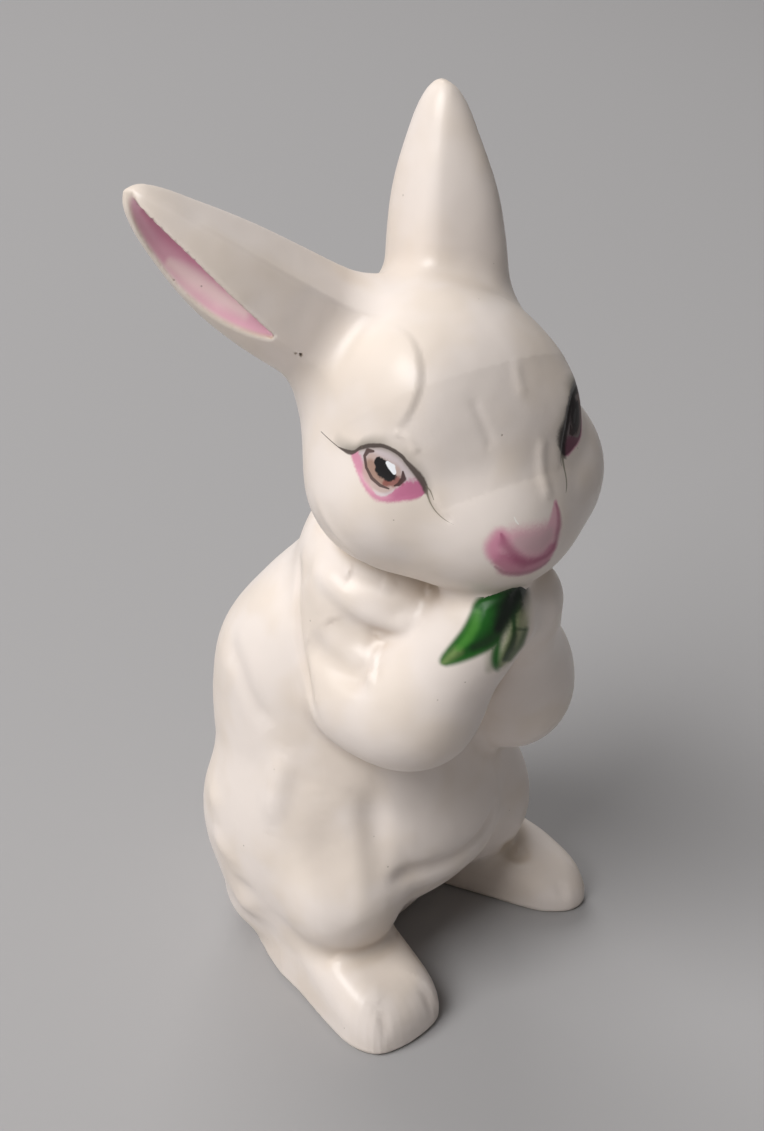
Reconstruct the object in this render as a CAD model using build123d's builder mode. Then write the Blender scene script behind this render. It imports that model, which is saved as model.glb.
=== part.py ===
"""A ceramic rabbit sitting up on its haunches and nibbling a leaf.

The figurine is built the way a pottery builds it. The body and the head are hollow slip castings.
The ears, limbs, tail and leaf are cast or pressed on their own, trimmed to the surface that they
sit on, and luted to it. Each piece is one solid, and neighbours meet face to face at their seams.

Millimetres, +Z up. The rabbit faces -Y, its right side is towards -X, and the origin is on the
floor below the middle of the body.
"""
import os
from math import cos, radians, sin

from build123d import *

os.makedirs("parts", exist_ok=True)

# Overrun of every cut past the surface that it goes through
overrun = 2.0

# Body casting: rump, belly, back and neck in one hollow piece
body_height = 106.0
body_width = 59.0
body_depth = 57.0
body_wall = 4.0
vent_hole_diameter = 10.0
vent_setback_share = 0.2274

# Each row: height, width, depth and setback of one level section of the body, as shares of the
# body's height, width, depth and depth
body_section_shares = (
    (0.000, 0.78, 0.61, 0.237),
    (0.057, 0.92, 0.75, 0.202),
    (0.132, 0.97, 0.88, 0.158),
    (0.208, 0.98, 0.96, 0.088),
    (0.321, 1.00, 0.98, 0.067),
    (0.434, 0.98, 1.00, 0.110),
    (0.547, 0.95, 0.98, 0.132),
    (0.660, 0.91, 0.88, 0.114),
    (0.755, 0.80, 0.73, 0.053),
    (0.849, 0.61, 0.61, -0.040),
    (0.943, 0.50, 0.53, -0.105),
    (1.000, 0.39, 0.40, -0.155),
)

# Throat: the full front of the neck, below the chin. Its place is to the rabbit's left of its middle,
# behind the body's front and below the body's top.
throat_width = 34.0
throat_height = 23.0
throat_place = (-4.0, 19.5, 16.0)

# Haunches: the folded thighs, which stand proud of the body's flanks
haunch_spacing = 38.0
haunch_thickness = 26.0
haunch_length = 48.0
haunch_height = 50.0
haunch_setback = 4.0
haunch_centre_height = 29.5
knee_spacing = 40.0
knee_thickness = 21.5
knee_length = 19.5
knee_height = 27.0
knee_reach = 9.8
knee_centre_height = 25.0

# Head casting: skull, cheeks and muzzle in one hollow piece
head_width = 53.0
head_length = 57.0
head_height = 45.0
head_wall = 4.0
head_rise = 14.0
head_setback = 14.5
head_sidestep = -1.5
head_turn = 16.0

# Each row of the head's upright sections: place from nape to nose, crown height, brow half width,
# brow height, cheek half width, cheek height, jaw half width, jaw height and chin height.
# Places are shares of the head's length, half widths of its width, heights of its height.
head_section_shares = (
    (-0.465, 0.10, 0.04, 0.08, 0.06, 0.05, 0.04, 0.01, -0.01),
    (-0.445, 0.20, 0.09, 0.15, 0.13, 0.04, 0.09, -0.07, -0.11),
    (-0.40, 0.31, 0.15, 0.22, 0.21, 0.05, 0.14, -0.12, -0.21),
    (-0.28, 0.45, 0.26, 0.32, 0.36, 0.00, 0.28, -0.28, -0.38),
    (-0.10, 0.51, 0.32, 0.34, 0.46, -0.10, 0.36, -0.38, -0.47),
    (0.06, 0.52, 0.34, 0.32, 0.50, -0.14, 0.41, -0.38, -0.48),
    (0.20, 0.47, 0.34, 0.26, 0.475, -0.15, 0.40, -0.39, -0.50),
    (0.31, 0.36, 0.29, 0.13, 0.39, -0.18, 0.31, -0.37, -0.48),
    (0.41, 0.10, 0.19, -0.06, 0.24, -0.22, 0.19, -0.36, -0.45),
    (0.47, -0.05, 0.13, -0.14, 0.15, -0.24, 0.11, -0.34, -0.38),
    (0.505, -0.16, 0.05, -0.20, 0.06, -0.24, 0.04, -0.29, -0.31),
)

# Ears: pointed oval cups, solid cast, with flats pared along their outer sides
ear_width = 22.5
ear_thickness = 19.5
ear_cup_width = 11.5
ear_cup_depth = 5.5
ear_cup_length_share = 0.86
ear_cup_middle_share = 0.54

# Each row: place from root to tip, as a share of the ear's length, and the section's size there, as
# a share of the ear's width and thickness
ear_section_shares = (
    (-0.20, 1.04),
    (0.00, 1.03),
    (0.15, 1.03),
    (0.35, 1.00),
    (0.55, 0.89),
    (0.75, 0.65),
    (0.90, 0.38),
    (1.00, 0.13),
)

# Root and tip of each ear in the head's own frame: to its left, forward and up from its centre
right_ear_root = (-12.0, -9.0, 14.2)
right_ear_tip = (-46.0, -15.5, 42.0)
right_ear_cup_side = (-0.47, 0.79, -0.40)
left_ear_root = (8.8, -11.0, 13.0)
left_ear_tip = (8.8, -14.0, 53.0)
left_ear_cup_side = (1.0, 0.1, 0.0)

# Flats of each ear: the angle round the ear from the side of its cup, and the distance from the
# ear's middle line where the ear is as wide as its full width
right_ear_flats = ((92.0, 7.6), (32.0, 8.4))
left_ear_flats = ((-103.0, 9.4),)

# Forelegs: the upper arms from the shoulders down to their bends, the elbows, and the forearms up to
# the paws under the chin. Their places are given as the throat's is.
shoulder_radius = 9.3
bend_radius = 10.0
elbow_radius = 10.8
paw_radius = 8.7
right_shoulder = (-13.0, 22.5, 22.0)
right_bend = (-17.0, 16.5, 35.0)
right_elbow = (-13.5, 8.0, 35.0)
right_paw = (-7.0, -2.5, 15.0)
left_shoulder = (12.0, 23.5, 23.0)
left_bend = (17.0, 16.5, 40.0)
left_elbow = (16.5, 9.5, 44.0)
left_paw = (3.0, -2.0, 16.0)

# Hind feet: long flat feet that reach out from under the haunches
foot_width = 19.0
foot_height = 18.0
toe_count = 3
toe_length = 24.0
toe_height = 13.0
toe_rise = 4.5
toe_overlap = 4.5
right_heel = (-17.5, 15.0)
right_toe = (-25.5, -29.0)
left_heel = (18.5, 15.0)
left_toe = (29.5, -28.0)

# Each row: place from heel to toe, width and height of one upright section of a foot, as shares
# of the foot's length, width and height
foot_section_shares = (
    (0.00, 0.60, 0.70),
    (0.15, 0.88, 0.95),
    (0.40, 1.00, 1.00),
    (0.65, 0.98, 0.90),
    (0.85, 0.94, 0.74),
)

# Tail: a short round scut at the back
tail_width = 18.0
tail_length = 18.0
tail_height = 19.0
tail_proud = 6.5
tail_centre_height = 14.0

# Leaf: a sprig of two lobes that hangs from the mouth over the right paw. Its places are given as
# the throat's is.
leaf_thickness = 1.6
leaf_stalk = (-6.5, -8.0, 8.0)
leaf_front_tip = (-17.0, -3.5, 20.0)
leaf_side_tip = (-9.5, -9.0, 22.0)
leaf_front_width = 9.0
leaf_side_width = 7.0
leaf_root_depth = 4.0
leaf_belly_share = 0.40


up = Vector(0, 0, 1)


def ellipsoid(width, length, height, place):
    """A round form of the given width, length and height about its place."""
    with BuildPart() as form:
        Sphere(1)
        scale(by=(width / 2, length / 2, height / 2))
    return place * form.part


def body_loft(inset, lift, crown):
    """The body's level sections, each drawn in by the inset, from the lift up to the crown."""
    with BuildPart() as form:
        for height_share, width_share, depth_share, setback_share in body_section_shares:
            level = lift + (crown - lift) * height_share
            with BuildSketch(Plane.XY.offset(level)):
                with Locations((0, body_depth * setback_share)):
                    Ellipse(body_width / 2 * width_share - inset, body_depth / 2 * depth_share - inset)
        loft()
    return form.part


head_centre = Vector(head_sidestep, head_setback - body_depth / 2, body_height + head_rise)
head_forward = Vector(-sin(radians(head_turn)), -cos(radians(head_turn)), 0)
head_left = Vector(cos(radians(head_turn)), -sin(radians(head_turn)), 0)


def on_breast(place):
    """A place given from the body's front and top, in the rabbit's frame."""
    aside, behind, below = place
    return Vector(aside, behind - body_depth / 2, body_height - below)


def in_head(place):
    """A place or direction given to the head's left, forward and up, in the rabbit's frame."""
    left, forward, rise = place
    return head_left * left + head_forward * forward + up * rise


def head_section(row, width, length, height):
    """The closed outline of one row of the head's sections, upright and square to its length."""
    place, crown, brow, brow_height, cheek, cheek_height, jaw, jaw_height, chin = row
    plane = Plane(head_centre + head_forward * length * place, head_left, head_forward)
    left_half = [
        (0, height * crown),
        (width * brow, height * brow_height),
        (width * cheek, height * cheek_height),
        (width * jaw, height * jaw_height),
        (0, height * chin),
    ]
    with BuildSketch(plane) as section:
        with BuildLine():
            Spline(*left_half, tangents=[(1, 0), (-1, 0)])
            mirror(about=Plane.YZ)
        make_face()
    return section.sketch


def head_loft(inset):
    """The head's form, drawn in all round by the inset."""
    width, length, height = head_width - 2 * inset, head_length - 2 * inset, head_height - 2 * inset
    with BuildPart() as form:
        loft([head_section(row, width, length, height).face() for row in head_section_shares])
    return form.part


def throat_form(inset):
    """The front of the neck, drawn in all round by the inset."""
    width, height = throat_width - 2 * inset, throat_height - 2 * inset
    return ellipsoid(width, width, height, Location(on_breast(throat_place)))


def body_form():
    """The whole outside of the body, with its throat, haunches and knees."""
    rounds = [body_loft(0, 0, body_height), throat_form(0)]
    for side in (-1, 1):
        thigh_place = Location((side * haunch_spacing / 2, haunch_setback, haunch_centre_height))
        knee_place = Location((side * knee_spacing / 2, -knee_reach, knee_centre_height))
        rounds.append(ellipsoid(haunch_thickness, haunch_length, haunch_height, thigh_place))
        rounds.append(ellipsoid(knee_thickness, knee_length, knee_height, knee_place))
    with BuildPart() as form:
        add(rounds)
    return form.part


def tapered_bar(start, end, start_radius, end_radius):
    """A round bar from one centre to the other, with a ball at its end."""
    axis = end - start
    with BuildPart() as form:
        with BuildSketch(Plane(start, z_dir=axis)):
            Circle(start_radius)
        with BuildSketch(Plane(end, z_dir=axis)):
            Circle(end_radius)
        loft()
        with Locations(Location(end)):
            Sphere(end_radius)
    return form.part


def foreleg_form(shoulder, bend, elbow, paw, growth=0):
    """A foreleg: the upper arm down to its bend, the elbow, and the forearm up to the paw."""
    places = [on_breast(place) for place in (shoulder, bend, elbow, paw)]
    radii = [radius + growth for radius in (shoulder_radius, bend_radius, elbow_radius, paw_radius)]
    bars = [tapered_bar(places[i], places[i + 1], radii[i], radii[i + 1]) for i in range(3)]
    with BuildPart() as form:
        add(bars)
    return form.part


def ear_form(root, tip, cup_side, flats):
    """An ear: a pointed oval bar with a long cup sunk into one side and flats pared on others."""
    root_place = head_centre + in_head(root)
    axis = in_head(tip) - in_head(root)
    across = axis.cross(in_head(cup_side)).normalized()
    facing = across.cross(axis).normalized()
    cup_middle = root_place + axis * ear_cup_middle_share + facing * ear_thickness / 2
    cup_place = Plane(cup_middle, across, axis).location
    cup = ellipsoid(ear_cup_width, 2 * ear_cup_depth, axis.length * ear_cup_length_share, cup_place)
    with BuildPart() as form:
        for place_share, size_share in ear_section_shares:
            with BuildSketch(Plane(root_place + axis * place_share, across, axis)):
                Ellipse(ear_width / 2 * size_share, ear_thickness / 2 * size_share)
                for angle, distance in flats:
                    away = distance * size_share + ear_width / 2
                    outward = (away * sin(radians(angle)), -away * cos(radians(angle)))
                    with Locations(Location(outward, angle)):
                        Rectangle(2 * ear_width, ear_width, mode=Mode.SUBTRACT)
        loft()
        add(cup, mode=Mode.SUBTRACT)
    return form.part


def foot_form(heel, toe):
    """A hind foot from heel to toes, flat on the floor, with its toes side by side."""
    heel_place, toe_place = Vector(*heel), Vector(*toe)
    axis = toe_place - heel_place
    forward = axis.normalized()
    across = up.cross(forward)
    toe_spacing = foot_width / toe_count
    toes = []
    for number in range(toe_count):
        aside = toe_spacing * (number - (toe_count - 1) / 2)
        toe_middle = toe_place - forward * toe_length / 2 + across * aside + up * toe_rise
        toe_plane = Plane(toe_middle, across, up)
        toes.append(ellipsoid(toe_spacing + toe_overlap, toe_length, toe_height, toe_plane.location))
    with BuildPart() as form:
        for place_share, width_share, height_share in foot_section_shares:
            with BuildSketch(Plane(heel_place + axis * place_share, -across, forward)):
                Ellipse(foot_width / 2 * width_share, foot_height * height_share)
        loft()
        add(toes)
        split(bisect_by=Plane.XY, keep=Keep.TOP)
    return form.part


def leaf_blade(tip, width):
    """A leaf's outline from the stalk to its tip, as a prism that starts inside what it lies on."""
    stalk, tip_place = on_breast(leaf_stalk), on_breast(tip)
    along = tip_place - stalk
    outward = stalk + tip_place - on_breast(right_paw) * 2
    across = outward.cross(along).normalized()
    facing = along.cross(across).normalized()
    belly_place = along.length * leaf_belly_share
    with BuildPart() as blade:
        with BuildSketch(Plane(stalk - facing * leaf_root_depth, along, facing)):
            with BuildLine():
                Spline((0, 0), (belly_place, width / 2), (along.length, 0))
                Spline((0, 0), (belly_place, -width / 2), (along.length, 0))
            make_face()
        extrude(amount=leaf_root_depth + along.length)
    return blade.part


body_outside = body_form()
body_inside = body_loft(body_wall, body_wall, body_height + overrun)
throat_inside = throat_form(body_wall)
head_outside = head_loft(0)
head_inside = head_loft(head_wall)
right_ear_outside = ear_form(right_ear_root, right_ear_tip, right_ear_cup_side, right_ear_flats)
left_ear_outside = ear_form(left_ear_root, left_ear_tip, left_ear_cup_side, left_ear_flats)
right_foreleg_outside = foreleg_form(right_shoulder, right_bend, right_elbow, right_paw)
left_foreleg_outside = foreleg_form(left_shoulder, left_bend, left_elbow, left_paw)
right_foot_outside = foot_form(right_heel, right_toe)
left_foot_outside = foot_form(left_heel, left_toe)
tail_place = Location((0, body_depth / 2 + tail_proud, tail_centre_height))
tail_outside = ellipsoid(tail_width, tail_length, tail_height, tail_place)

# Body: hollow from its floor up to the open neck, with a vent hole through the floor
with BuildPart() as body_casting:
    add(body_outside)
    add([body_inside, throat_inside], mode=Mode.SUBTRACT)
    with BuildSketch(Plane.XY.offset(-overrun)):
        with Locations((0, body_depth * vent_setback_share)):
            Circle(vent_hole_diameter / 2)
    extrude(amount=overrun + body_wall + overrun, mode=Mode.SUBTRACT)
body_casting.part.label = "body_casting"
export_step(body_casting.part, "parts/body_casting.step")

# Head: open below, where it is luted over the neck, and hollow
with BuildPart() as head_casting:
    add(head_outside)
    add(body_outside, mode=Mode.SUBTRACT)
    add(head_inside, mode=Mode.SUBTRACT)
head_casting.part.label = "head_casting"
export_step(head_casting.part, "parts/head_casting.step")

# Luted pieces: each one's name, its whole form and the neighbours that it is trimmed to
luted_pieces = (
    ("right_ear", right_ear_outside, [head_outside]),
    ("left_ear", left_ear_outside, [head_outside, right_ear_outside]),
    ("right_foreleg", right_foreleg_outside, [body_outside, head_outside]),
    ("left_foreleg", left_foreleg_outside, [body_outside, head_outside, right_foreleg_outside]),
    ("right_hind_foot", right_foot_outside, [body_outside]),
    ("left_hind_foot", left_foot_outside, [body_outside]),
    ("tail", tail_outside, [body_outside]),
)
for name, outside, neighbours in luted_pieces:
    with BuildPart() as luted_piece:
        add(outside)
        add(neighbours, mode=Mode.SUBTRACT)
    luted_piece.part.label = name
    export_step(luted_piece.part, f"parts/{name}.step")

# Leaf: two lobes of even thickness that hug the right paw below the mouth
front_lobe = leaf_blade(leaf_front_tip, leaf_front_width)
side_lobe = leaf_blade(leaf_side_tip, leaf_side_width)
leaf_skin = foreleg_form(right_shoulder, right_bend, right_elbow, right_paw, leaf_thickness)
with BuildPart() as leaf_sprig:
    add([front_lobe, side_lobe])
    add(leaf_skin, mode=Mode.INTERSECT)
    add([right_foreleg_outside, left_foreleg_outside, head_outside], mode=Mode.SUBTRACT)
leaf_sprig.part.label = "leaf_sprig"
export_step(leaf_sprig.part, "parts/leaf_sprig.step")
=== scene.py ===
"""A slip-cast ceramic rabbit nibbling a leaf: its glazed surfaces, its paint and a plain studio.

The forms are worked out in millimetres in the part's own frame and made into meshes in metres. The
rabbit faces -Y, its right side is towards -X, and it sits on the floor at Z = 0.
"""
import math
from concurrent.futures import ThreadPoolExecutor

import bpy
import numpy as np
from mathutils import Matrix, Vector


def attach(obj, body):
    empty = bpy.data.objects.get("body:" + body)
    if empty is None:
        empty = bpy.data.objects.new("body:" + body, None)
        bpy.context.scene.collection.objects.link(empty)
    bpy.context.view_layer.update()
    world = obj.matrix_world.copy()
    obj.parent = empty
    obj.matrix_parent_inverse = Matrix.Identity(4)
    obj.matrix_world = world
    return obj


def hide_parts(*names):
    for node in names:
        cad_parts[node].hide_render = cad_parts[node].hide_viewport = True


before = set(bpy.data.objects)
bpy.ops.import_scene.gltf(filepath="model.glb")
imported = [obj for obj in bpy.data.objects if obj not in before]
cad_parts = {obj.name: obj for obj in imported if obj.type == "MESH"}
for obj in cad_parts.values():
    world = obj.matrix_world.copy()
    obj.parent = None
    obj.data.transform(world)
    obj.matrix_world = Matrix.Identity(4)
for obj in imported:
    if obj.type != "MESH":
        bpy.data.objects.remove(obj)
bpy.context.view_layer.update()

# Modelling tools: a form is a field, the distance from each place to its surface, negative inside

# Shares by which two kinds of field are held back, so that they grow no faster than distance does
stack_slack = 0.93
ear_slack = 0.85


def join(first, second, reach):
    """Two forms as one, with clay smoothed into the corner between them."""
    share = np.clip(0.5 + 0.5 * (second - first) / reach, 0, 1)
    return second + (first - second) * share - reach * share * (1 - share)


def join_all(forms, reach):
    """Several forms as one, smoothed into each other."""
    whole = forms[0]
    for form in forms[1:]:
        whole = join(whole, form, reach)
    return whole


def cut(form, tool, reach):
    """A form with another taken out of it, its edge softened."""
    return -join(-form, tool, reach)


def turned(degrees):
    """Axes turned about the upright, to be used as a ball's turn."""
    c, s = math.cos(math.radians(degrees)), math.sin(math.radians(degrees))
    return np.array(((c, -s, 0), (s, c, 0), (0, 0, 1)))


def ball(places, centre, radii, turn=None):
    """An egg of clay with the given radii."""
    offset = places - np.array(centre, float)
    if turn is not None:
        offset = offset @ turn
    radii = np.array(radii, float)
    scaled = np.sqrt(((offset / radii) ** 2).sum(1))
    slope = np.sqrt(((offset / radii**2) ** 2).sum(1))
    return scaled * (scaled - 1) / np.maximum(slope, 1e-9)


def oval(across, along, half_width, half_depth):
    """The distance to an oval's edge, and how far out each place lies as a share of the way there."""
    scaled = np.sqrt((across / half_width) ** 2 + (along / half_depth) ** 2)
    slope = np.sqrt((across / half_width**2) ** 2 + (along / half_depth**2) ** 2)
    return scaled * (scaled - 1) / np.maximum(slope, 1e-6), scaled


def bar(places, start, end, start_radius, end_radius):
    """A round bar of clay that tapers from start to end."""
    start = np.array(start, float)
    axis = np.array(end, float) - start
    share = np.clip((places - start) @ axis / (axis @ axis), 0, 1)
    offset = places - start - share[:, None] * axis
    return np.sqrt((offset**2).sum(1)) - (start_radius + (end_radius - start_radius) * share)


def flowing(stops, values, at):
    """A curve that flows through the values at the stops."""
    slopes = np.gradient(values, stops)
    at = np.clip(at, stops[0], stops[-1])
    span = np.clip(np.searchsorted(stops, at) - 1, 0, len(stops) - 2)
    length = stops[span + 1] - stops[span]
    t = (at - stops[span]) / length
    ends = (2 * t**3 - 3 * t**2 + 1) * values[span] + (3 * t**2 - 2 * t**3) * values[span + 1]
    bends = (t**3 - 2 * t**2 + t) * slopes[span] + (t**3 - t**2) * slopes[span + 1]
    return ends + bends * length


def smooth_step(value):
    """0 below 0, 1 above 1, and smooth between."""
    value = np.clip(value, 0, 1)
    return value * value * (3 - 2 * value)


def flowing_line(knots, per_span=4):
    """A smooth line through the knots, as closely spaced places."""
    knots = np.array(knots, float)
    stops = np.arange(len(knots), dtype=float)
    at = np.linspace(0, len(knots) - 1, per_span * (len(knots) - 1) + 1)
    return np.stack([flowing(stops, values, at) for values in knots.T], 1)


def stack(places, sections):
    """An upright form from level oval sections: height, setback, half width and half depth."""
    level = places[:, 2]
    setback, half_width, half_depth = (flowing(sections[:, 0], sections[:, i], level) for i in (1, 2, 3))
    side, scaled = oval(places[:, 0], places[:, 1] - setback, half_width, half_depth)
    side = np.where(scaled < 1e-3, -np.minimum(half_width, half_depth), side) * stack_slack
    return np.maximum(np.maximum(side, level - sections[-1, 0]), sections[0, 0] - level)


# The head's place and turn. Its own frame runs to its left, forward and up from its middle.

head_place = np.array((-1.5, -14.0, 120.0))
head_turn = math.radians(16.0)
head_axes = np.array(
    (
        (math.cos(head_turn), -math.sin(head_turn), 0),
        (-math.sin(head_turn), -math.cos(head_turn), 0),
        (0, 0, 1),
    )
)


def to_head(places):
    """Places of the rabbit's frame in the head's own."""
    return (places - head_place) @ head_axes.T


def from_head(places):
    """Places of the head's own frame in the rabbit's."""
    return np.array(places, float) @ head_axes + head_place


# The main forms

body_sections = np.array(
    (
        (-6, 14.5, 18, 13),
        (0, 13.5, 23, 17.5),
        (6, 12.5, 27, 20.4),
        (14, 10, 28.5, 23.8),
        (22, 6, 29, 26.4),
        (34, 3.8, 29.5, 28),
        (46, 6.3, 29, 28.6),
        (58, 7.5, 28, 28),
        (70, 6.5, 27, 25),
        (80, 3, 23.5, 20.5),
        (90, -2.5, 17.5, 17),
        (100, -6, 14.5, 15),
        (108, -10, 10, 10),
    ),
    float,
)


def body_form(places):
    """The torso with its throat, haunches and knees."""
    throat = ball(places, (-4, -9, 91), (17, 17, 12))
    form = join(stack(places, body_sections), throat, 7)
    for side in (-1, 1):
        haunch = ball(places, (side * 19, 4.6, 29.5), (13, 23.6, 25), turned(side * -4))
        knee = ball(places, (side * 20, -9.6, 24.5), (10.6 - side * 0.5, 9.4, 13))
        form = join(form, join(haunch, knee, 6), 3)
    return form


def head_form(places):
    """Skull, cheeks, muzzle and brows."""
    places = to_head(places)
    skull = ball(places, (-0.4, -2.4, 3), (21.3, 23.4, 19.7))
    right_cheek = ball(places, (-12.5, 4.2, -7.6), (12.3, 16, 13.3))
    left_cheek = ball(places, (14.8, 3.2, -9.2), (13.2, 18, 14.4))
    right_brow = ball(places, (-9.5, 8, 8), (9, 11, 11))
    left_brow = ball(places, (10.4, 8.8, 4.6), (9, 11, 8.8))
    form = join_all([skull, right_cheek, left_cheek, right_brow, left_brow], 5)
    bridge = bar(places, (0, 4.5, 5.5), (0.6, 15.6, -8.6), 15.5, 11)
    muzzle = ball(places, (1.5, 14.2, -13), (14.4, 13, 11.3))
    return join_all([form, bridge, muzzle], 8)


# An ear's outline: places from its root to its tip, and its width and thickness there, as shares
ear_places = np.array((-0.40, 0.00, 0.15, 0.35, 0.55, 0.75, 0.90, 1.00))
ear_width_shares = np.array((1.10, 1.03, 1.04, 1.02, 0.92, 0.67, 0.42, 0.16))
ear_thickness_shares = np.array((1.20, 1.08, 1.00, 0.92, 0.79, 0.57, 0.35, 0.12))
ear_root_depth = 9
ear_tip_reach = 3
cup_edge_reach = 1.2


def ear_frame(ear):
    """An ear's own place and axes: along it, across it and out of its cup, and its length."""
    root, tip = from_head(ear["root"]), from_head(ear["tip"])
    axis = tip - root
    length = np.linalg.norm(axis)
    axis = axis / length
    facing = from_head(ear["facing"]) - head_place
    facing = facing - (facing @ axis) * axis
    facing = facing / np.linalg.norm(facing)
    return root, axis, np.cross(axis, facing), facing, length


def ear_forms(places, ear):
    """A pointed ear pared to flat sides that meet in ridges, and the long cup to be cut in one side."""
    root, axis, across, facing, length = ear_frame(ear)
    offset = places - root
    along, aside, outward = offset @ axis, offset @ across, offset @ facing
    share = np.clip(along / length, ear_places[0], 1)
    belly = 4 * np.clip(share, 0, 1) * np.clip(1 - share, 0, 1)
    aside, outward = aside - ear["sway"][0] * belly, outward - ear["sway"][1] * belly
    half_width = ear["width"] / 2 * flowing(ear_places, ear_width_shares, share)
    half_thickness = ear["thickness"] / 2 * flowing(ear_places, ear_thickness_shares, share)
    form = oval(aside, outward, half_width, half_thickness)[0] * ear_slack
    for angle, distance in ear["sides"]:
        side = aside * math.sin(math.radians(angle)) + outward * math.cos(math.radians(angle))
        paring = side - distance * (half_width + half_thickness) / (ear["width"] + ear["thickness"]) * 2
        form = cut(form, -paring, ear["ridge_reach"])
    form = cut(np.maximum(form, -along - ear_root_depth), length - along, ear_tip_reach)
    angle = math.radians(ear["cup_angle"])
    cup_out = aside * math.sin(angle) + outward * math.cos(angle)
    cup_across = aside * math.cos(angle) - outward * math.sin(angle)
    cup_out = cup_out - ear["cup_rise"] * half_thickness / (ear["thickness"] / 2)
    taper = np.clip(1 - ((share - ear["cup_place"]) / ear["cup_length"]) ** 2, 0.02, 1)
    half_cup, cup_depth = ear["cup_width"] / 2 * taper, ear["cup_depth"] * taper
    hollow = oval(cup_across, cup_out, half_cup, cup_depth)[0]
    return form, np.maximum(hollow, cup_across - ear["cup_wall"] * taper)


def ear_form(places, ear):
    """An ear with its cup."""
    return cut(*ear_forms(places, ear), cup_edge_reach)


# Angles go round the ear from the way that its cup faces. Each flat side has its angle and its
# distance from the ear's middle line.
right_ear = {
    "root": (-12, -9, 14.2),
    "tip": (-46, -15.5, 42),
    "facing": (-0.55, 0.55, -0.65),
    "sway": (-0.2, 1.5),
    "width": 22.5,
    "thickness": 19.5,
    "sides": ((118, 7.5), (60, 8.0)),
    "ridge_reach": 0.7,
    "cup_angle": 20,
    "cup_place": 0.655,
    "cup_rise": 9.0,
    "cup_length": 0.34,
    "cup_width": 11.4,
    "cup_depth": 5.2,
    "cup_wall": 1.2,
}
left_ear = {
    "root": (8.8, -11, 13),
    "tip": (8.8, -14, 53),
    "facing": (1, 0.1, 0),
    "sway": (0, 0),
    "width": 23,
    "thickness": 21,
    "sides": ((-98, 9.4), (-172, 9.6)),
    "ridge_reach": 3.5,
    "cup_angle": 5,
    "cup_place": 0.50,
    "cup_rise": 10.0,
    "cup_length": 0.46,
    "cup_width": 12,
    "cup_depth": 5.5,
    "cup_wall": 5.0,
}


def foreleg_form(places, leg):
    """An upper arm down to its bend, the elbow, and the forearm folded up to the paw."""
    upper_arm = bar(places, leg["shoulder"], leg["bend"], leg["shoulder_radius"], leg["bend_radius"])
    elbow = ball(places, leg["elbow"], leg["elbow_radii"])
    forearm = bar(places, leg["elbow"], leg["paw"], leg["elbow_radii"][0] - 1, leg["paw_radius"])
    return join(join(upper_arm, elbow, 7), forearm, leg["crook"])


right_foreleg = {
    "shoulder": (-13, -6, 84),
    "shoulder_radius": 9.5,
    "bend": (-17, -12, 71),
    "bend_radius": 10.5,
    "elbow": (-13.4, -20.6, 71),
    "elbow_radii": (11.6, 11, 10.8),
    "paw": (-7, -31, 91),
    "paw_radius": 8.8,
    "crook": 6,
}
left_foreleg = {
    "shoulder": (12, -5, 83),
    "shoulder_radius": 9,
    "bend": (17, -12, 66),
    "bend_radius": 9.5,
    "elbow": (16, -18.6, 60.6),
    "elbow_radii": (9.8, 10.2, 11.8),
    "paw": (2.6, -30.2, 89.6),
    "paw_radius": 8.0,
    "crook": 13,
}


# Each foot's outline as seen from above
right_foot_outline = [
    (-24, 14), (-29.5, 4), (-31, -5), (-33, -15), (-33.8, -22.5), (-31.8, -28.3), (-27.6, -31),
    (-21.2, -32.2), (-14.4, -31.4), (-10.9, -27), (-9.2, -19), (-8, -10), (-7, 0), (-10, 12),
]
left_foot_outline = [
    (28, 10), (33.8, -5), (36.2, -14), (36.6, -19.4), (36.2, -25), (34.4, -29.8), (31, -32),
    (27.2, -31.8), (24.2, -30), (20.9, -26.3), (18.7, -21.3), (16.8, -15.9), (14.8, -10.4),
    (12.6, -3), (14, 9),
]

# Each foot's height at its ankle and at its toes
right_foot_heights = (17, 9)
left_foot_heights = (16, 9)
sole_inset = 1.6
foot_edge_reach = 8

tail_place = (0, 36, 13)
tail_radii = (9, 8, 9)

# A flat form gives this distance away from its outline, and above this height
far_off = 9.0
flat_top = 30


def closed_line(knots, per_span=3):
    """A smooth line round through the knots and back to the first."""
    ring = flowing_line([knots[-2], knots[-1]] + list(knots) + [knots[0], knots[1]], per_span)
    return ring[2 * per_span:-2 * per_span]


def flat_form(places, outline):
    """A form with the same outline at every level; away from it, only a distance far off."""
    form = np.full(len(places), far_off)
    low, high = outline.min(0) - far_off, outline.max(0) + far_off
    beside = ((places[:, :2] > low) & (places[:, :2] < high)).all(1)
    near = np.nonzero(beside & (places[:, 2] < flat_top))[0]
    spots = places[near, :2]
    nearest, inside = np.full(len(near), 1e9), np.zeros(len(near), bool)
    for start, end in zip(outline, np.roll(outline, -1, 0)):
        step = end - start
        share = np.clip((spots - start) @ step / max(step @ step, 1e-9), 0, 1)
        nearest = np.minimum(nearest, ((spots - start - share[:, None] * step) ** 2).sum(1))
        crosses = (start[1] > spots[:, 1]) != (end[1] > spots[:, 1])
        reach = start[0] + (spots[:, 1] - start[1]) / (step[1] if step[1] else 1e-9) * step[0]
        inside ^= crosses & (spots[:, 0] < reach)
    form[near] = np.sqrt(nearest) * np.where(inside, -1, 1)
    return form


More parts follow.
